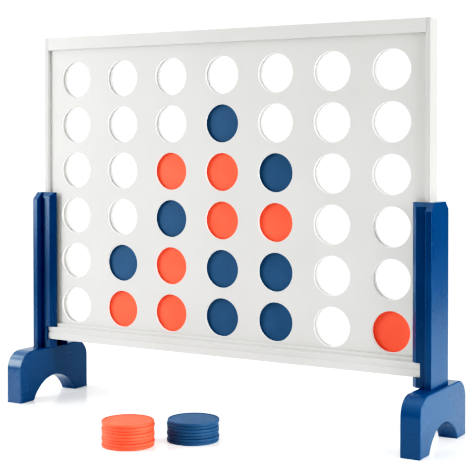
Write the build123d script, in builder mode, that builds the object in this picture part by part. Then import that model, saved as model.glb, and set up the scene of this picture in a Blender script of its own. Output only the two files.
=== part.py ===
"""Giant four in a row: a white two-panel board standing between two blue posts on arched feet.

Every piece is a separate solid in its own file.  Millimetres, +Z up, ground at Z = 0.
X runs along the board, Y runs from the players' front side to the back.  The origin is
on the ground at the middle of the whole set, loose stacks of discs included.
"""
from build123d import *
from math import cos, sin
import os

# ---------------------------------------------------------------- driving dimensions
columns = 7
rows = 6
column_pitch = 120.0
disc_diameter = 95.0
disc_thickness = 5.6
disc_gap = 0.3
row_pitch = disc_diameter + disc_gap
grid_z = 436.2                # height of the middle of the grid of view holes
view_hole_radius = 37.6

panel_thickness = 5.9
panel_gap = 6.4
board_top_z = 763.8
board_bottom_z = 123.2
side_board_width = 8.8
side_board_depth = 32.6
board_half_width = 437.8
rail_thickness = 7.2
top_rail_height = 25.8
bottom_rail_top_z = 156.0
divider_width = 23.0

bar_half_length = 423.6
bar_top_z = 149.2
bar_thickness = 8.4
bar_undercut = 2.6
bar_ledge = 2.0

slider_top_z = 150.2             # the lowest discs of every column rest here
slider_thickness = 6.0
slider_width = 12.0
slider_bridge = 14.0
slider_travel = 55.0
slide_clearance = 0.2

post_top_z = 435.7
post_board_inner_x = 438.5
post_board_thickness = 12.1
post_board_depth = 83.6
post_board_chamfer = 15.0
strip_inner_x = 406.2
strip_thickness = 12.2
channel_half_width = 16.6
strip_chamfer = 8.0
strip_bevel = 10.0             # along the inner upright edge, away from the board
notch_clearance = 0.6

foot_inner_x = 422.0
foot_outer_x = 460.2
foot_height = 105.2
foot_half_length = 111.0
foot_corner_radius = 36.0
foot_forward = 3.0
arch_half_width = 69.0
arch_height = 43.4

orange_stack_x = -32.6
orange_stack_forward = 277.9
orange_stack_count = 8
blue_stack_x = 47.6
blue_stack_forward = 187.4
blue_stack_count = 7

knob_radius = 12.0
knob_foot_radius = 9.0
knob_waist_radius = 7.4
knob_length = 14.0
knob_waist = 4.2               # from the knob's near face to its waist
knob_belly = 9.8               # from the knob's near face to its widest ring
knob_bore_depth = 8.7
knob_standoff = 1.2
stud_radius = 2.0
stud_shoulder_radius = 3.0
stud_in_slider = 7.2
stud_in_knob = 8.4
stud_bore_depth = 9.0
stud_play = 1.5                # free length at each end of the stud's slots

screw_radius = 1.75
screw_head_radius = 3.4
screw_length = 12.0
screw_low_z = 190.0
screw_high_z = 720.0
rail_screw_length = 30.0
foot_screw_radius = 2.5
foot_screw_head_radius = 5.0
foot_screw_length = 72.0
foot_screw_head_z = 66.0
foot_screw_spread = 22.0
dowel_radius = 3.0
dowel_length = 19.0
dowel_in_strip = 11.4
dowel_levels = (0.2, 0.5, 0.8)    # as parts of the post's height above the foot
fit_clearance = 0.05

soft_edge = 1.0
foot_edge = 2.0
hole_edge = 0.6
disc_edge = 1.3
disc_rim_width = 3.6
disc_rim_height = 0.8
stack_gap = 0.1
stack_sway = 1.0                # how far a disc lies from the middle of its stack
sway_turn_across = 2.3         # radians of sway from one disc to the next
sway_turn_back = 1.7

# ---------------------------------------------------------------- derived places
front_reach = orange_stack_forward + disc_diameter / 2
back_reach = foot_half_length - foot_forward
board_y = (front_reach - back_reach) / 2
panel_face = panel_gap / 2 + panel_thickness
rail_face = panel_face + rail_thickness
bar_face = rail_face + bar_thickness
panel_half_width = board_half_width - side_board_width
slider_z = slider_top_z - slider_thickness / 2
slot_height = 2 * stud_shoulder_radius + 1.0
slot_length = slider_travel + 2 * stud_shoulder_radius + 2 * stud_play
bridge_x = [column_pitch * (c - (columns - 1) / 2) for c in range(columns)]
divider_x = [column_pitch * (c - (columns - 2) / 2) for c in range(columns - 1)]
end_divider_width = panel_half_width - (bridge_x[-1] + column_pitch / 2 - divider_width / 2)
end_divider_x = panel_half_width - end_divider_width / 2
screw_levels = [screw_low_z + (screw_high_z - screw_low_z) * k / 3 for k in range(4)]
rail_screw_z = board_bottom_z + (bar_top_z - board_bottom_z) / 3
rail_screw_y = [board_y + side * (panel_face + rail_thickness / 2) for side in (-1, 1)]
foot_screw_x = post_board_inner_x + post_board_thickness / 2
foot_screw_y = [board_y - foot_screw_spread, board_y + foot_screw_spread]
foot_screw_end_z = foot_screw_head_z + foot_screw_length
arch_radius = (arch_half_width ** 2 + arch_height ** 2) / (2 * arch_height)

orange_places = [(3, 3), (4, 3), (4, 4), (5, 4), (3, 5), (2, 6), (3, 6), (7, 6)]
blue_places = [(4, 2), (5, 3), (3, 4), (2, 5), (4, 5), (5, 5), (4, 6), (5, 6)]


def facing_front(y):
    """Plane at this Y whose local axes are X and Z and whose normal points to the front."""
    return Plane.XZ.offset(-y)


def facing_back(x, y, z):
    """Plane at a point of a back face, with its normal pointing to the back."""
    return Plane(origin=(x, y, z), x_dir=(1, 0, 0), z_dir=(0, 1, 0))


def save(piece, name):
    """Label a finished piece and write its file."""
    piece.part.label = name
    export_step(piece.part, f"parts/{name}.step")


# ---------------------------------------------------------------- the board
def screw_places():
    """X and Z of every panel screw: one row of screws down each divider."""
    across = divider_x + [-end_divider_x, end_divider_x]
    return [(x, z) for x in across for z in screw_levels]


def make_panel(side):
    """One drilled face panel; side is -1 for the front and +1 for the back."""
    outer_y = board_y + side * panel_face
    inner_y = board_y + side * panel_gap / 2
    height = board_top_z - board_bottom_z
    groove_depth = slider_width / 2 + slide_clearance - panel_gap / 2
    with BuildPart() as panel:
        with BuildSketch(facing_front(max(outer_y, inner_y))):
            with Locations((0, board_bottom_z + height / 2)):
                Rectangle(2 * panel_half_width, height)
            with Locations((0, grid_z)):
                with GridLocations(column_pitch, row_pitch, columns, rows):
                    Circle(view_hole_radius, mode=Mode.SUBTRACT)
        extrude(amount=panel_thickness)
        rims = panel.edges().filter_by(GeomType.CIRCLE).group_by(Axis.Y)
        chamfer(rims[0] + rims[-1], hole_edge)
        with BuildSketch(facing_front(max(inner_y, inner_y + side * groove_depth))):
            with Locations((0, slider_z)):
                Rectangle(2 * panel_half_width, slider_thickness + 2 * slide_clearance)
        extrude(amount=groove_depth, mode=Mode.SUBTRACT)
        if side > 0:
            with BuildSketch(facing_front(outer_y)):
                with Locations((-slider_travel / 2, slider_z)):
                    SlotOverall(slot_length, slot_height)
            extrude(amount=panel_thickness, mode=Mode.SUBTRACT)
            with Locations(*[facing_back(x, outer_y, z) for x, z in screw_places()]):
                CounterSinkHole(screw_radius + fit_clearance, screw_head_radius + fit_clearance,
                                panel_thickness, 90)
    return panel


def rail_screw_planes(side, reach):
    """Planes at this reach from the middle, with normals outwards, on the two rail screws."""
    return [Plane(origin=(side * reach, y, rail_screw_z), x_dir=(0, 1, 0), z_dir=(side, 0, 0))
            for y in rail_screw_y]


def make_side_board(side):
    """One full-height edge board; side is -1 for the left and +1 for the right."""
    height = board_top_z - board_bottom_z
    middle_x = side * (board_half_width - side_board_width / 2)
    with BuildPart() as board:
        with BuildSketch(Plane.XY.offset(board_bottom_z)):
            with Locations((middle_x, board_y)):
                Rectangle(side_board_width, side_board_depth)
        extrude(amount=height)
        fillet(board.edges().filter_by(Axis.Z), soft_edge)
        with Locations(*rail_screw_planes(side, board_half_width)):
            CounterSinkHole(screw_radius + fit_clearance, screw_head_radius + fit_clearance,
                            side_board_width, 90)
    return board


def make_rail(side, low_z, high_z, is_bottom):
    """A flat rail glued to the outside of a panel; side is -1 for the front, +1 for the back."""
    outer_y = board_y + side * rail_face
    inner_y = board_y + side * panel_face
    with BuildPart() as rail:
        with BuildSketch(facing_front(max(outer_y, inner_y))):
            with Locations((0, (low_z + high_z) / 2)):
                Rectangle(2 * panel_half_width, high_z - low_z)
        extrude(amount=rail_thickness)
        outer_face = rail.faces().sort_by(Axis.Y)[0 if side < 0 else -1]
        fillet(outer_face.edges().filter_by(Axis.X), soft_edge)
        if is_bottom:
            ends = rail_screw_planes(-1, panel_half_width) + rail_screw_planes(1, panel_half_width)
            with Locations(*[end for end in ends if (end.origin.Y - board_y) * side > 0]):
                Hole(screw_radius + fit_clearance, rail_screw_length)
        if is_bottom and side > 0:
            with BuildSketch(facing_front(outer_y)):
                with Locations((-slider_travel / 2, slider_z)):
                    SlotOverall(slot_length, slot_height)
            extrude(amount=rail_thickness, mode=Mode.SUBTRACT)
    return rail


def make_support_bar(side):
    """The bar whose ends stand in the notches of the posts, with its undercut upper face."""
    middle_z = (board_bottom_z + bar_top_z) / 2
    inner = board_y + side * rail_face
    outer = board_y + side * bar_face
    with BuildPart() as bar:
        with BuildSketch(Plane.YZ.offset(-bar_half_length)):
            with BuildLine():
                Polyline((inner, board_bottom_z),
                         (outer - side * (bar_undercut - bar_ledge), board_bottom_z),
                         (outer - side * (bar_undercut - bar_ledge), middle_z),
                         (outer - side * bar_undercut, middle_z + soft_edge),
                         (outer, bar_top_z),
                         (inner, bar_top_z),
                         close=True)
            make_face()
        extrude(amount=2 * bar_half_length)
        outermost = 0 if side < 0 else -1
        upper_edges = bar.edges().filter_by(Axis.X).group_by(Axis.Z)[-1]
        fillet(upper_edges.sort_by(Axis.Y)[outermost], soft_edge / 2)
        lower_edges = bar.edges().filter_by(Axis.X).group_by(Axis.Z)[0]
        fillet(lower_edges.sort_by(Axis.Y)[outermost], soft_edge)
        if side > 0:
            notch_height = bar_top_z - slider_z + slot_height / 2
            with BuildSketch(facing_front(outer)):
                with Locations((-slider_travel / 2, bar_top_z)):
                    Rectangle(slot_length, 2 * notch_height)
            extrude(amount=bar_thickness, mode=Mode.SUBTRACT)
    return bar


def make_divider(x, width):
    """A spacer between two columns, with a roof-shaped top that leads the discs in."""
    with BuildPart() as divider:
        with BuildSketch(Plane.XY.offset(bottom_rail_top_z)):
            with Locations((x, board_y)):
                Rectangle(width, panel_gap)
        extrude(amount=board_top_z - bottom_rail_top_z)
        top = divider.edges().group_by(Axis.Z)[-1].filter_by(Axis.Y)
        chamfer(top, width / 4)
        with Locations(*[facing_back(x, board_y + panel_gap / 2, z) for z in screw_levels]):
            Hole(screw_radius + fit_clearance, panel_gap)
    return divider


# ---------------------------------------------------------------- the disc release
def make_release_slider():
    """A ladder-shaped strip: at rest each bridge stands under one column of discs."""
    length = bridge_x[-1] - bridge_x[0] + slider_bridge
    window = column_pitch - slider_bridge
    with BuildPart() as slider:
        with BuildSketch(Plane.XY.offset(slider_top_z - slider_thickness)):
            with Locations((0, board_y)):
                Rectangle(length, slider_width)
                with GridLocations(column_pitch, 1, columns - 1, 1):
                    Rectangle(window, panel_gap, mode=Mode.SUBTRACT)
        extrude(amount=slider_thickness)
        with Locations(facing_back(0, board_y + slider_width / 2, slider_z)):
            Hole(stud_radius + fit_clearance, stud_bore_depth)
    return slider


def make_release_stud():
    """The shouldered stud that carries the knob's push through the back of the board."""
    root_y = board_y + slider_width / 2
    shoulder_length = bar_face + knob_standoff - slider_width / 2
    with BuildPart() as stud:
        with Locations(facing_back(0, root_y - stud_in_slider, slider_z)):
            Cylinder(stud_radius, stud_in_slider + shoulder_length + stud_in_knob,
                     align=(Align.CENTER, Align.CENTER, Align.MIN))
        with Locations(facing_back(0, root_y, slider_z)):
            Cylinder(stud_shoulder_radius, shoulder_length, align=(Align.CENTER, Align.CENTER, Align.MIN))
    return stud


def make_release_knob():
    """A round pull knob with a waist and a domed end."""
    near = board_y + bar_face + knob_standoff
    with BuildPart() as knob:
        with BuildSketch(Plane.YZ):
            with BuildLine():
                Polyline((near, slider_z), (near, slider_z + knob_foot_radius),
                         (near + knob_waist, slider_z + knob_waist_radius))
                Spline((near + knob_waist, slider_z + knob_waist_radius),
                       (near + knob_belly, slider_z + knob_radius),
                       (near + knob_length, slider_z), tangents=[(0.4, 1), (0, -1)])
                Line((near + knob_length, slider_z), (near, slider_z))
            make_face()
        revolve(axis=Axis((0, near, slider_z), (0, 1, 0)))
        with Locations(Plane(origin=(0, near, slider_z), x_dir=(1, 0, 0), z_dir=(0, -1, 0))):
            Hole(stud_radius + fit_clearance, knob_bore_depth)
    return knob


# ---------------------------------------------------------------- posts and feet
def dowel_places(side):
    """Middle points of the dowels between a post board and its two channel strips."""
    spread = channel_half_width + strip_thickness / 2
    heights = [foot_height + (post_top_z - foot_height) * level for level in dowel_levels]
    start_x = side * (post_board_inner_x - dowel_in_strip)
    return [(start_x, board_y + end * spread, z) for end in (-1, 1) for z in heights]


def dowel_planes(side):
    """Planes at the inner ends of those dowels, with normals pointing outwards."""
    return [Plane(origin=place, x_dir=(0, 1, 0), z_dir=(side, 0, 0)) for place in dowel_places(side)]


def make_post_board(side):
    """The wide outer board of a post, with its sloping top corners."""
    middle_x = side * (post_board_inner_x + post_board_thickness / 2)
    with BuildPart() as board:
        with BuildSketch(Plane.XY.offset(foot_height)):
            with Locations((middle_x, board_y)):
                Rectangle(post_board_thickness, post_board_depth)
        extrude(amount=post_top_z - foot_height)
        top = board.edges().group_by(Axis.Z)[-1].filter_by(Axis.X)
        chamfer(top, post_board_chamfer)
        fillet(board.edges().filter_by(Axis.Z), soft_edge)
        with Locations(*dowel_planes(side)):
            Cylinder(dowel_radius + fit_clearance, dowel_length + 2 * fit_clearance,
                     align=(Align.CENTER, Align.CENTER, Align.MIN), mode=Mode.SUBTRACT)
        with Locations(*[(middle_x, y, foot_height) for y in foot_screw_y]):
            Cylinder(foot_screw_radius + fit_clearance, foot_screw_end_z - foot_height + 1,
                     align=(Align.CENTER, Align.CENTER, Align.MIN), mode=Mode.SUBTRACT)
    return board


def make_post_strip(side, face):
    """A channel strip of a post, notched for the support bar; face is -1 front, +1 back."""
    inner_x = side * strip_inner_x
    outer_x = side * post_board_inner_x
    near_y = board_y + face * channel_half_width
    far_y = near_y + face * strip_thickness
    notch_depth = bar_half_length + notch_clearance - strip_inner_x
    with BuildPart() as strip:
        with BuildSketch(Plane.XY.offset(foot_height)):
            with BuildLine():
                Polyline((inner_x, near_y),
                         (outer_x, near_y),
                         (outer_x, far_y),
                         (inner_x + side * strip_bevel, far_y),
                         (inner_x, far_y - face * strip_bevel),
                         close=True)
            make_face()
        extrude(amount=post_top_z - foot_height)
        top = strip.edges().group_by(Axis.Z)[-1].filter_by(Axis.X)
        chamfer(top.sort_by(Axis.Y)[0 if face < 0 else -1], strip_chamfer)
        with BuildSketch(facing_front(max(near_y, far_y))):
            with Locations((side * (strip_inner_x + notch_depth / 2),
                            (board_bottom_z + bar_top_z + notch_clearance) / 2)):
                Rectangle(notch_depth, bar_top_z + notch_clearance - board_bottom_z)
        extrude(amount=strip_thickness, mode=Mode.SUBTRACT)
        with Locations(*dowel_planes(side)):
            Cylinder(dowel_radius + fit_clearance, dowel_length + 2 * fit_clearance,
                     align=(Align.CENTER, Align.CENTER, Align.MIN), mode=Mode.SUBTRACT)
    return strip


def make_foot(side):
    """A thick foot with rounded shoulders and an arch cut out of its underside."""
    low_x = foot_inner_x if side > 0 else -foot_outer_x
    middle_y = board_y - foot_forward
    with BuildPart() as foot:
        with BuildSketch(Plane.YZ.offset(low_x)) as outline:
            with Locations((middle_y, foot_height / 2)):
                Rectangle(2 * foot_half_length, foot_height)
            fillet(outline.vertices().group_by(Axis.Y)[-1], foot_corner_radius)
            with Locations((middle_y, arch_height - arch_radius)):
                Circle(arch_radius, mode=Mode.SUBTRACT)
        extrude(amount=foot_outer_x - foot_inner_x)
        fillet(foot.faces().filter_by(Axis.X).edges(), foot_edge)
        with Locations(*[(side * foot_screw_x, y, 0) for y in foot_screw_y]):
            Cylinder(foot_screw_radius + fit_clearance, foot_height,
                     align=(Align.CENTER, Align.CENTER, Align.MIN), mode=Mode.SUBTRACT)
            Cylinder(foot_screw_head_radius + 1, foot_screw_head_z,
                     align=(Align.CENTER, Align.CENTER, Align.MIN), mode=Mode.SUBTRACT)
    return foot


# ---------------------------------------------------------------- fasteners
def make_countersunk_screws(planes, length):
    """Countersunk cross-head screws, one at each plane, driven in against its normal."""
    head_height = screw_head_radius - screw_radius
    with BuildPart() as screws:
        with Locations(*planes):
            Cylinder(screw_radius, length, align=(Align.CENTER, Align.CENTER, Align.MAX))
            Cone(screw_radius, screw_head_radius, head_height, align=(Align.CENTER, Align.CENTER, Align.MAX))
            for turn in (0, 90):
                Box(screw_head_radius, screw_head_radius / 4, head_height, rotation=(0, 0, turn),
                    align=(Align.CENTER, Align.CENTER, Align.CENTER), mode=Mode.SUBTRACT)
    return screws


def make_post_dowels():
    """The glued dowels of both posts."""
    with BuildPart() as dowels:
        with Locations(*(dowel_planes(-1) + dowel_planes(1))):
            Cylinder(dowel_radius, dowel_length, align=(Align.CENTER, Align.CENTER, Align.MIN))
    return dowels


def make_foot_screws():
    """Pan-head screws that come up through each foot into the end of the post board."""
    places = [(side * foot_screw_x, y, foot_screw_head_z) for side in (-1, 1) for y in foot_screw_y]
    with BuildPart() as screws:
        with Locations(*places):
            Cylinder(foot_screw_radius, foot_screw_length, align=(Align.CENTER, Align.CENTER, Align.MIN))
            Cylinder(foot_screw_head_radius, foot_screw_head_radius * 0.6,
                     align=(Align.CENTER, Align.CENTER, Align.MAX))
    return screws


# ---------------------------------------------------------------- discs
def make_discs(middles):
    """Rimmed discs, one on each middle plane, with their axes along the planes' normals."""
    radius = disc_diameter / 2
    with BuildPart() as discs:
        with BuildSketch(*middles):
            Circle(radius)
        extrude(amount=disc_thickness / 2, both=True)
        for end in (-1, 1):
            with BuildSketch(*[middle.offset(end * disc_thickness / 2) for middle in middles]):
                Circle(radius - disc_rim_width)
            extrude(amount=-end * disc_rim_height, mode=Mode.SUBTRACT)
        rims = discs.edges().filter_by(GeomType.CIRCLE).group_by(SortBy.RADIUS)[-1]
        fillet(rims, disc_edge)
    return discs


def make_board_disc(column, row):
    """A disc standing in the board; column 1 is on the left, row 1 is at the top."""
    x = bridge_x[column - 1]
    z = grid_z + row_pitch * ((rows + 1) / 2 - row)
    return make_discs([Plane(origin=(x, board_y, z), x_dir=(1, 0, 0), z_dir=(0, -1, 0))])


def make_stack(x, forward, count):
    """A loose stack of discs lying on the ground, each one slightly off the last."""
    middles = []
    for k in range(count):
        across = stack_sway * sin(sway_turn_across * k)
        back = stack_sway / 2 * (1 - cos(sway_turn_back * k))
        height = (k + 0.5) * disc_thickness + k * stack_gap
        middles.append(Plane(origin=(x + across, board_y - forward + back, height)))
    return make_discs(middles)


# ---------------------------------------------------------------- write every piece
os.makedirs("parts", exist_ok=True)

for side, word in ((-1, "front"), (1, "back")):
    save(make_panel(side), f"{word}_panel")
    save(make_rail(side, board_top_z - top_rail_height, board_top_z, False), f"{word}_top_rail")
    save(make_rail(side, board_bottom_z, bottom_rail_top_z, True), f"{word}_bottom_rail")
    save(make_support_bar(side), f"{word}_support_bar")

for number, x in enumerate(divider_x, start=1):
    save(make_divider(x, divider_width), f"column_divider_{number}")

save(make_release_slider(), "release_slider")
save(make_release_stud(), "release_stud")
save(make_release_knob(), "release_knob")

for side, word in ((-1, "left"), (1, "right")):
    save(make_side_board(side), f"{word}_side_board")
    save(make_divider(side * end_divider_x, end_divider_width), f"{word}_end_divider")
    save(make_post_board(side), f"{word}_post_board")
    save(make_post_strip(side, -1), f"{word}_front_post_strip")
    save(make_post_strip(side, 1), f"{word}_back_post_strip")
    save(make_foot(side), f"{word}_foot")

back_planes = [facing_back(x, board_y + panel_face, z) for x, z in screw_places()]
save(make_countersunk_screws(back_planes, screw_length), "panel_screws")
end_planes = rail_screw_planes(-1, board_half_width) + rail_screw_planes(1, board_half_width)
save(make_countersunk_screws(end_planes, rail_screw_length), "rail_screws")
save(make_post_dowels(), "post_dowels")
save(make_foot_screws(), "foot_screws")

for column, row in orange_places:
    save(make_board_disc(column, row), f"orange_disc_column_{column}_row_{row}")
for column, row in blue_places:
    save(make_board_disc(column, row), f"blue_disc_column_{column}_row_{row}")
save(make_stack(orange_stack_x, orange_stack_forward, orange_stack_count), "orange_disc_stack")
save(make_stack(blue_stack_x, blue_stack_forward, blue_stack_count), "blue_disc_stack")
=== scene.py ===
import math
import bmesh
import bpy
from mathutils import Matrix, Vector


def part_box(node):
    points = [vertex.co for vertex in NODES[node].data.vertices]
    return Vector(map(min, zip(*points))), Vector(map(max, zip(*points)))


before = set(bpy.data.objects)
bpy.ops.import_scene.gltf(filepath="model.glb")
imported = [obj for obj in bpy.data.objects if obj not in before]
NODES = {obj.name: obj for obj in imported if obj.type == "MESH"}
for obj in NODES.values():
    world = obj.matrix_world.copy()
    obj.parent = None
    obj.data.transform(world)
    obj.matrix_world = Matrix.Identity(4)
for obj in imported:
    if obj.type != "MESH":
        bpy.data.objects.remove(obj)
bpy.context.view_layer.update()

MM = 0.001

# ------------------------------------------------------------ places taken from the frame
panel_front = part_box("front_panel")[0].y
panel_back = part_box("back_panel")[1].y
board_y = (panel_front + panel_back) / 2

# The grid's middle lies between rows 3 and 4, where two discs of column 4 meet.
disc_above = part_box("orange_disc_column_4_row_3")
disc_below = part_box("orange_disc_column_4_row_4")
disc_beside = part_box("orange_disc_column_3_row_3")
grid_middle = Vector((0, panel_front, (disc_above[0].z + disc_below[1].z) / 2))
column_pitch = disc_above[0].x - disc_beside[0].x

# ------------------------------------------------------------ colours, as linear RGB
WHITE_DARK, WHITE_LIGHT = (0.535, 0.535, 0.514), (0.570, 0.570, 0.548)
# Painted shade: the side boards get a darker copy of the same white paint, holding back the strong light
# from the right.
SHADED_SIDE_WHITE_DARK, SHADED_SIDE_WHITE_LIGHT = (0.465, 0.465, 0.446), (0.495, 0.495, 0.475)
# Painted light: a near-white put on drilled edges and inside the disc gap, where the board is in shade.
PAINTED_LIGHT_INSIDE = (0.92, 0.92, 0.90)
BLUE_DARK, BLUE_LIGHT = (0.0010, 0.047, 0.124), (0.0016, 0.058, 0.148)
ORANGE_DISC, ORANGE_DISC_DEEP = (0.93, 0.128, 0.074), (0.88, 0.115, 0.063)
BLUE_DISC, BLUE_DISC_DEEP = (0.026, 0.088, 0.172), (0.021, 0.077, 0.152)
SLIDER_WHITE, SLIDER_WHITE_DEEP = (0.82, 0.82, 0.80), (0.76, 0.76, 0.74)
ZINC_DARK, ZINC_LIGHT = (0.46, 0.46, 0.44), (0.68, 0.68, 0.66)
BEECH_DARK, BEECH_LIGHT = (0.45, 0.28, 0.13), (0.68, 0.48, 0.28)
FLOOR_WHITE = (0.96, 0.96, 0.96)
PURE_WHITE = (1.0, 1.0, 1.0)

# ------------------------------------------------------------ finishes of the painted timber
GRAIN_ALONG_X, GRAIN_ALONG_Y, GRAIN_ALONG_Z = 0, 1, 2
# The edge_wear_and_highlight amount pales the edges: partly wear, partly a painted highlight.
WHITE_FINISH = dict(roughness=0.42, gloss=0.35, grain_strength=0.025, edge_wear_and_highlight=0.15, relief=0.12)
POST_FINISH = dict(roughness=0.27, gloss=0.42, grain_strength=0.10, edge_wear_and_highlight=0.20, relief=0.09)
FOOT_FINISH = dict(roughness=0.25, gloss=0.42, grain_strength=0.035, edge_wear_and_highlight=0.20, relief=0.035)
DISC_ROUGHNESS, SLIDER_ROUGHNESS = 0.52, 0.35

# Sockets of a colour Mix node, whose inputs share their names and are told apart by number.
MIX_FACTOR, MIX_FIRST, MIX_SECOND, MIX_RESULT = 0, 6, 7, 2


# ------------------------------------------------------------ node-tree helpers
def new_material(name):
    material = bpy.data.materials.new(name)
    material.use_nodes = True
    tree = material.node_tree
    tree.nodes.clear()
    out = tree.nodes.new("ShaderNodeOutputMaterial")
    shader = tree.nodes.new("ShaderNodeBsdfPrincipled")
    tree.links.new(shader.outputs["BSDF"], out.inputs["Surface"])
    return material, tree, shader


def feed(tree, socket, value):
    """Give an input socket another node's output, an RGB colour, or a plain value."""
    if isinstance(value, bpy.types.NodeSocket):
        tree.links.new(value, socket)
    elif socket.type == "RGBA":
        socket.default_value = (*value, 1.0)
    else:
        socket.default_value = value


def add_node(tree, kind, **settings):
    """A new node; each setting goes to the input socket of that name, or else to the node."""
    node = tree.nodes.new(kind)
    for key, value in settings.items():
        if key in node.inputs:
            feed(tree, node.inputs[key], value)
        else:
            setattr(node, key, value)
    return node


def mix_colours(tree, factor, first, second, blend_type="MIX"):
    node = add_node(tree, "ShaderNodeMix", data_type="RGBA", blend_type=blend_type)
    feed(tree, node.inputs[MIX_FACTOR], factor)
    feed(tree, node.inputs[MIX_FIRST], first)
    feed(tree, node.inputs[MIX_SECOND], second)
    return node.outputs[MIX_RESULT]


def calculate(tree, operation, *values):
    """One step of arithmetic on numbers."""
    node = add_node(tree, "ShaderNodeMath", operation=operation)
    for socket, value in zip(node.inputs, values):
        feed(tree, socket, value)
    return node.outputs["Value"]


def axis_of(tree, vector, axis):
    """The X, Y or Z part of a vector."""
    return add_node(tree, "ShaderNodeSeparateXYZ", Vector=vector).outputs[axis]


def dot_product(tree, first, second):
    node = add_node(tree, "ShaderNodeVectorMath", operation="DOT_PRODUCT")
    feed(tree, node.inputs[0], first)
    feed(tree, node.inputs[1], second)
    return node.outputs["Value"]


def scaled_coords(tree, scale=(1.0, 1.0, 1.0)):
    """Object coordinates stretched by a scale per axis."""
    coords = add_node(tree, "ShaderNodeTexCoord").outputs["Object"]
    return add_node(tree, "ShaderNodeMapping", Vector=coords, Scale=scale).outputs["Vector"]


def noise(tree, vector, scale, detail, roughness):
    node = add_node(tree, "ShaderNodeTexNoise", Vector=vector, Scale=scale, Detail=detail,
                    Roughness=roughness)
    return node.outputs["Fac"]


def ramp(tree, value, stops):
    """A colour ramp; stops are (position, grey or RGB)."""
    node = add_node(tree, "ShaderNodeValToRGB", Fac=value)
    while len(node.color_ramp.elements) < len(stops):
        node.color_ramp.elements.new(0.5)
    for element, (place, colour) in zip(node.color_ramp.elements, stops):
        element.position = place
        rgb = colour if isinstance(colour, tuple) else (colour,) * 3
        element.color = (*rgb, 1.0)
    return node.outputs["Color"]


def spread(tree, value, low, high, from_low=0.3, from_high=0.7):
    """Stretch a value from one range to another; most noise lies between the defaults."""
    node = add_node(tree, "ShaderNodeMapRange")
    limits = {"Value": value, "From Min": from_low, "From Max": from_high, "To Min": low, "To Max": high}
    for name, limit in limits.items():
        feed(tree, node.inputs[name], limit)
    return node.outputs["Result"]


def add_bump(tree, shader, layers):
    """Stack bumps: layers are (height socket, distance in metres, strength)."""
    normal = None
    for height, distance, strength in layers:
        bump = add_node(tree, "ShaderNodeBump", Height=height, Strength=strength, Distance=distance)
        if normal is not None:
            tree.links.new(normal, bump.inputs["Normal"])
        normal = bump.outputs["Normal"]
    tree.links.new(normal, shader.inputs["Normal"])


def edge_mask(tree, radius):
    """1 near convex and concave edges, 0 on flats, from the difference a rounded normal makes."""
    rounded = add_node(tree, "ShaderNodeBevel", samples=4, Radius=radius)
    geometry = add_node(tree, "ShaderNodeNewGeometry")
    likeness = dot_product(tree, rounded.outputs["Normal"], geometry.outputs["True Normal"])
    return spread(tree, likeness, 1.0, 0.0, from_low=0.86, from_high=0.995)


# ------------------------------------------------------------ materials
def painted_wood(name, dark, light, grain_axis, roughness, gloss, grain_strength, edge_wear_and_highlight, relief):
    """Sprayed paint over timber: faint grain along one axis, orange peel, and paler edges that are partly
    wear and partly a painted highlight.
    """
    material, tree, shader = new_material(name)
    stretch = [90.0, 90.0, 90.0]
    stretch[grain_axis] = 2.2
    along = scaled_coords(tree, stretch)
    plain = scaled_coords(tree)
    grain = noise(tree, along, scale=3.0, detail=6.0, roughness=0.62)
    fine_grain = noise(tree, along, scale=11.0, detail=3.0, roughness=0.5)
    cloud = noise(tree, plain, scale=7.0, detail=3.0, roughness=0.5)
    peel = noise(tree, plain, scale=900.0, detail=2.0, roughness=0.4)
    scuff = noise(tree, plain, scale=120.0, detail=5.0, roughness=0.7)

    coat = mix_colours(tree, spread(tree, cloud, 0.0, 1.0), dark, light)
    streaks = ramp(tree, grain, [(0.3, 1.0 - grain_strength), (0.7, 1.0)])
    streaked = mix_colours(tree, 1.0, coat, streaks, blend_type="MULTIPLY")
    # Paler edges: partly rubbed paint, partly a painted highlight where eased edges catch the light.
    rubbed_and_highlit = tuple(min(1.0, channel * 1.25 + 0.12) for channel in light)
    scuffed = spread(tree, scuff, 0.0, edge_wear_and_highlight, from_low=0.45, from_high=0.72)
    worn_and_highlit = calculate(tree, "MULTIPLY", edge_mask(tree, 1.6 * MM), scuffed)
    feed(tree, shader.inputs["Base Color"], mix_colours(tree, worn_and_highlit, streaked, rubbed_and_highlit))

    rough = spread(tree, cloud, roughness - 0.03, roughness + 0.05)
    feed(tree, shader.inputs["Roughness"], rough)
    shader.inputs["Specular IOR Level"].default_value = gloss
    add_bump(tree, shader, [(grain, 0.25 * MM, relief), (fine_grain, 0.12 * MM, relief),
                            (peel, 0.05 * MM, relief)])
    return material


def paint_light_inside(material, colour):
    """Painted light: paler colour on drilled edges and on everything inside the gap where the discs run,
    standing in for light on these shaded faces.
    """
    tree = material.node_tree
    shader = tree.nodes["Principled BSDF"]
    face_paint = shader.inputs["Base Color"].links[0].from_socket
    geometry = add_node(tree, "ShaderNodeNewGeometry")
    facing = calculate(tree, "ABSOLUTE", axis_of(tree, geometry.outputs["True Normal"], "Y"))
    depth = calculate(tree, "SUBTRACT", axis_of(tree, geometry.outputs["Position"], "Y"), board_y)
    away = calculate(tree, "ABSOLUTE", depth)
    on_edge = spread(tree, facing, 1.0, 0.0, from_low=0.4, from_high=0.6)
    in_gap = spread(tree, away, 1.0, 0.0, from_low=4.5 * MM, from_high=6 * MM)
    painted_light_mask = calculate(tree, "MAXIMUM", on_edge, in_gap)
    # Painted light: edges and gap faces take the paler colour in place of the light they lack.
    feed(tree, shader.inputs["Base Color"], mix_colours(tree, painted_light_mask, face_paint, colour))


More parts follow.
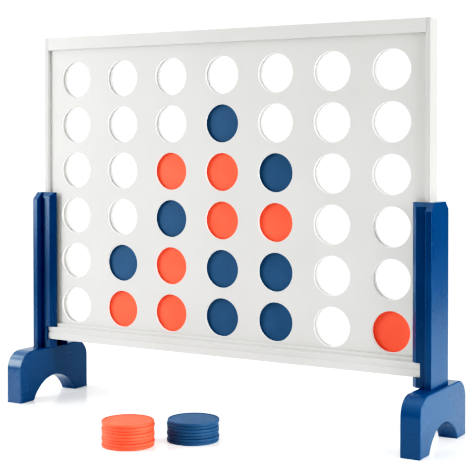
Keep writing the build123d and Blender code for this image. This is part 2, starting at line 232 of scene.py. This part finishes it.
def moulded_plastic(name, base, deep, roughness):
    """Injection-moulded plastic: spark texture, faint flow marks and handling scuffs."""
    material, tree, shader = new_material(name)
    plain = scaled_coords(tree)
    spark = noise(tree, plain, scale=2600.0, detail=2.0, roughness=0.5)
    flow = noise(tree, plain, scale=26.0, detail=4.0, roughness=0.55)
    scuff = noise(tree, scaled_coords(tree, (60.0, 60.0, 14.0)), scale=6.0, detail=5.0, roughness=0.65)
    feed(tree, shader.inputs["Base Color"], mix_colours(tree, spread(tree, flow, 0.0, 1.0), deep, base))
    rough = spread(tree, scuff, roughness - 0.06, roughness + 0.08)
    feed(tree, shader.inputs["Roughness"], rough)
    shader.inputs["Specular IOR Level"].default_value = 0.32
    add_bump(tree, shader, [(flow, 0.05 * MM, 0.15), (spark, 0.03 * MM, 0.22)])
    return material


def plated_steel(name):
    """Zinc plating with a slightly blotchy tone and gloss."""
    material, tree, shader = new_material(name)
    blotch = noise(tree, scaled_coords(tree), scale=300.0, detail=4.0, roughness=0.6)
    feed(tree, shader.inputs["Base Color"], ramp(tree, blotch, [(0.3, ZINC_DARK), (0.7, ZINC_LIGHT)]))
    shader.inputs["Metallic"].default_value = 1.0
    feed(tree, shader.inputs["Roughness"], spread(tree, blotch, 0.28, 0.45))
    add_bump(tree, shader, [(blotch, 0.03 * MM, 0.2)])
    return material


def bare_timber(name):
    """Unpainted beech with its grain along X, as the dowels lie."""
    material, tree, shader = new_material(name)
    grain = noise(tree, scaled_coords(tree, (8.0, 120.0, 120.0)), scale=6.0, detail=6.0, roughness=0.6)
    feed(tree, shader.inputs["Base Color"], ramp(tree, grain, [(0.3, BEECH_DARK), (0.7, BEECH_LIGHT)]))
    shader.inputs["Roughness"].default_value = 0.7
    add_bump(tree, shader, [(grain, 0.2 * MM, 0.3)])
    return material


white_upright_painted_light = painted_wood("white_paint_upright_painted_light", WHITE_DARK, WHITE_LIGHT, GRAIN_ALONG_Z, **WHITE_FINISH)
# The upright white gets painted light on its drilled edges and inside the disc gap.
paint_light_inside(white_upright_painted_light, PAINTED_LIGHT_INSIDE)
# The side boards' white is a darker, painted-shade copy of the panel white.
white_side_painted_shade = painted_wood("white_paint_side_painted_shade", SHADED_SIDE_WHITE_DARK, SHADED_SIDE_WHITE_LIGHT, GRAIN_ALONG_Z,
                          **WHITE_FINISH)
white_across = painted_wood("white_paint_across", WHITE_DARK, WHITE_LIGHT, GRAIN_ALONG_X, **WHITE_FINISH)
blue_upright = painted_wood("blue_paint_upright", BLUE_DARK, BLUE_LIGHT, GRAIN_ALONG_Z, **POST_FINISH)
blue_foot = painted_wood("blue_paint_foot", BLUE_DARK, BLUE_LIGHT, GRAIN_ALONG_Y, **FOOT_FINISH)
orange_plastic = moulded_plastic("orange_disc_plastic", ORANGE_DISC, ORANGE_DISC_DEEP, DISC_ROUGHNESS)
blue_plastic = moulded_plastic("blue_disc_plastic", BLUE_DISC, BLUE_DISC_DEEP, DISC_ROUGHNESS)
white_plastic = moulded_plastic("white_slider_plastic", SLIDER_WHITE, SLIDER_WHITE_DEEP, SLIDER_ROUGHNESS)
steel = plated_steel("zinc_plated_steel")
timber = bare_timber("bare_beech")


# ------------------------------------------------------------ paint for every CAD node
def paint(node, material):
    slots = NODES[node].data.materials
    slots.clear()
    slots.append(material)


for word in ("front", "back"):
    paint(f"{word}_panel", white_upright_painted_light)
    for part in ("top_rail", "bottom_rail", "support_bar"):
        paint(f"{word}_{part}", white_across)
for node in NODES:
    if node.startswith("column_divider_"):
        paint(node, white_upright_painted_light)
for word in ("left", "right"):
    paint(f"{word}_side_board", white_side_painted_shade)
    paint(f"{word}_end_divider", white_upright_painted_light)
    for part in ("post_board", "front_post_strip", "back_post_strip"):
        paint(f"{word}_{part}", blue_upright)
    paint(f"{word}_foot", blue_foot)
for node in ("panel_screws", "rail_screws", "foot_screws", "release_stud"):
    paint(node, steel)
paint("post_dowels", timber)
paint("release_slider", white_plastic)
paint("release_knob", blue_plastic)
for node in NODES:
    if "_disc_" in node:
        paint(node, orange_plastic if node.startswith("orange") else blue_plastic)

# ------------------------------------------------------------ floor, light and camera
FLOOR_LEFT, FLOOR_RIGHT = -9.0, 1.15
FLOOR_FRONT, FLOOR_BACK = -0.85, 9.0

BRIGHT_SIDE = math.radians(165)     # azimuth of the bright end of the room, from +X towards +Y
ROOM_LIGHT = [(0.0, 0.08), (0.49, 0.07), (0.56, 0.25), (0.72, 0.95)]     # from dim to bright end
OVERHEAD_LIGHT = 1.3        # straight above, fading towards the horizon by this power of the height
OVERHEAD_FADE = 2.0
ROOM_AS_SEEN = 1.1          # above 1, so that the backdrop is pure white

TONE_POINTS = [(0.0, 0.0), (0.03, 0.003), (0.10, 0.055), (0.20, 0.18), (0.35, 0.42), (0.48, 0.60),
               (0.58, 0.70), (0.70, 0.795), (0.81, 0.87), (0.90, 0.945), (0.96, 1.0), (1.0, 1.04)]
COMBINED_CURVE = 3      # after the red, green and blue curves

CAMERA_FROM_GRID = Vector((10.3152, -16.9158, 0.8775))     # in column pitches
CAMERA_TURN = 0.5348        # radians to the left of +Y, seen from above
CAMERA_TILT = -0.0184       # radians, looking down
LENS_LENGTH = 92.07         # millimetres, on a sensor 36 mm wide
SENSOR_WIDTH = 36.0
LENS_SHIFT_Y = -0.152       # the board sits high in the frame though the camera is nearly level


def make_floor():
    """A satin white sheet that ends near the front and the right, where the room is darker."""
    mesh = bpy.data.meshes.new("floor")
    tool = bmesh.new()
    corners = [(FLOOR_LEFT, FLOOR_FRONT), (FLOOR_RIGHT, FLOOR_FRONT),
               (FLOOR_RIGHT, FLOOR_BACK), (FLOOR_LEFT, FLOOR_BACK)]
    tool.faces.new([tool.verts.new((x, y, 0.0)) for x, y in corners])
    tool.to_mesh(mesh)
    tool.free()
    floor = bpy.data.objects.new("floor", mesh)
    bpy.context.scene.collection.objects.link(floor)
    material, tree, shader = new_material("pale_floor")
    finish = {"Base Color": FLOOR_WHITE, "Roughness": 0.16, "Specular IOR Level": 0.32,
              "Emission Color": PURE_WHITE, "Emission Strength": 0.05}
    for name, value in finish.items():
        feed(tree, shader.inputs[name], value)
    mesh.materials.append(material)


def add_area_light(name, place, aim, size, watts):
    data = bpy.data.lights.new(name, "AREA")
    data.shape = "RECTANGLE"
    data.size, data.size_y = size
    data.energy = watts
    light = bpy.data.objects.new(name, data)
    light.location = place
    light.rotation_euler = (Vector(aim) - Vector(place)).to_track_quat("-Z", "Y").to_euler()
    light.visible_camera = False
    bpy.context.scene.collection.objects.link(light)


def make_world():
    """A room that is white to look at; as light it is brightest overhead and dim at the right."""
    world = bpy.data.worlds.new("studio")
    world.use_nodes = True
    tree = world.node_tree
    tree.nodes.clear()
    out = tree.nodes.new("ShaderNodeOutputWorld")
    direction = add_node(tree, "ShaderNodeTexCoord").outputs["Generated"]
    bright_end = (math.cos(BRIGHT_SIDE), math.sin(BRIGHT_SIDE), 0.0)
    around = spread(tree, dot_product(tree, direction, bright_end), 0.0, 1.0, from_low=-1.0, from_high=1.0)
    up = spread(tree, axis_of(tree, direction, "Z"), 0.0, 1.0, from_low=0.0, from_high=1.0)
    overhead = calculate(tree, "MULTIPLY", calculate(tree, "POWER", up, OVERHEAD_FADE), OVERHEAD_LIGHT)
    both = add_node(tree, "ShaderNodeVectorMath", operation="ADD")
    feed(tree, both.inputs[0], ramp(tree, around, ROOM_LIGHT))
    feed(tree, both.inputs[1], overhead)
    seen = add_node(tree, "ShaderNodeBackground", Strength=ROOM_AS_SEEN, Color=PURE_WHITE)
    light = add_node(tree, "ShaderNodeBackground", Strength=1.0, Color=both.outputs["Vector"])
    path = add_node(tree, "ShaderNodeLightPath")
    mix = add_node(tree, "ShaderNodeMixShader", Fac=path.outputs["Is Camera Ray"])
    tree.links.new(light.outputs["Background"], mix.inputs[1])
    tree.links.new(seen.outputs["Background"], mix.inputs[2])
    tree.links.new(mix.outputs["Shader"], out.inputs["Surface"])
    bpy.context.scene.world = world


def set_tone_curve():
    """A studio photograph's contrast: clean whites, deep darks and a soft shoulder between them."""
    view = bpy.context.scene.view_settings
    view.view_transform = "Standard"
    view.use_curve_mapping = True
    mapping = view.curve_mapping
    curve = mapping.curves[COMBINED_CURVE]
    curve.points[0].location = TONE_POINTS[0]
    curve.points[1].location = TONE_POINTS[-1]
    for x, y in TONE_POINTS[1:-1]:
        curve.points.new(x, y)
    mapping.update()


def make_camera():
    """The camera stands to the right of the board, a little above its middle, level to about 1 degree."""
    data = bpy.data.cameras.new("camera")
    data.sensor_width = SENSOR_WIDTH
    data.lens = LENS_LENGTH
    data.shift_y = LENS_SHIFT_Y
    camera = bpy.data.objects.new("camera", data)
    camera.location = grid_middle + CAMERA_FROM_GRID * column_pitch
    level = math.cos(CAMERA_TILT)
    forward = Vector((-math.sin(CAMERA_TURN) * level, math.cos(CAMERA_TURN) * level, math.sin(CAMERA_TILT)))
    camera.rotation_euler = forward.to_track_quat("-Z", "Y").to_euler()
    bpy.context.scene.collection.objects.link(camera)
    bpy.context.scene.camera = camera


make_floor()
make_world()
add_area_light("right_softbox", place=(2.3, -0.15, 0.9), aim=(0.45, 0.1, 0.25), size=(1.0, 1.4), watts=60)
add_area_light("left_key", place=(-1.65, -1.15, 0.85), aim=(-0.4, 0.1, 0.3), size=(0.8, 1.2), watts=26)
add_area_light("corner_strip", place=(-1.4, -0.25, 1.2), aim=(-0.45, 0.0, 0.08), size=(0.5, 0.3), watts=2.6)
make_camera()
set_tone_curve()
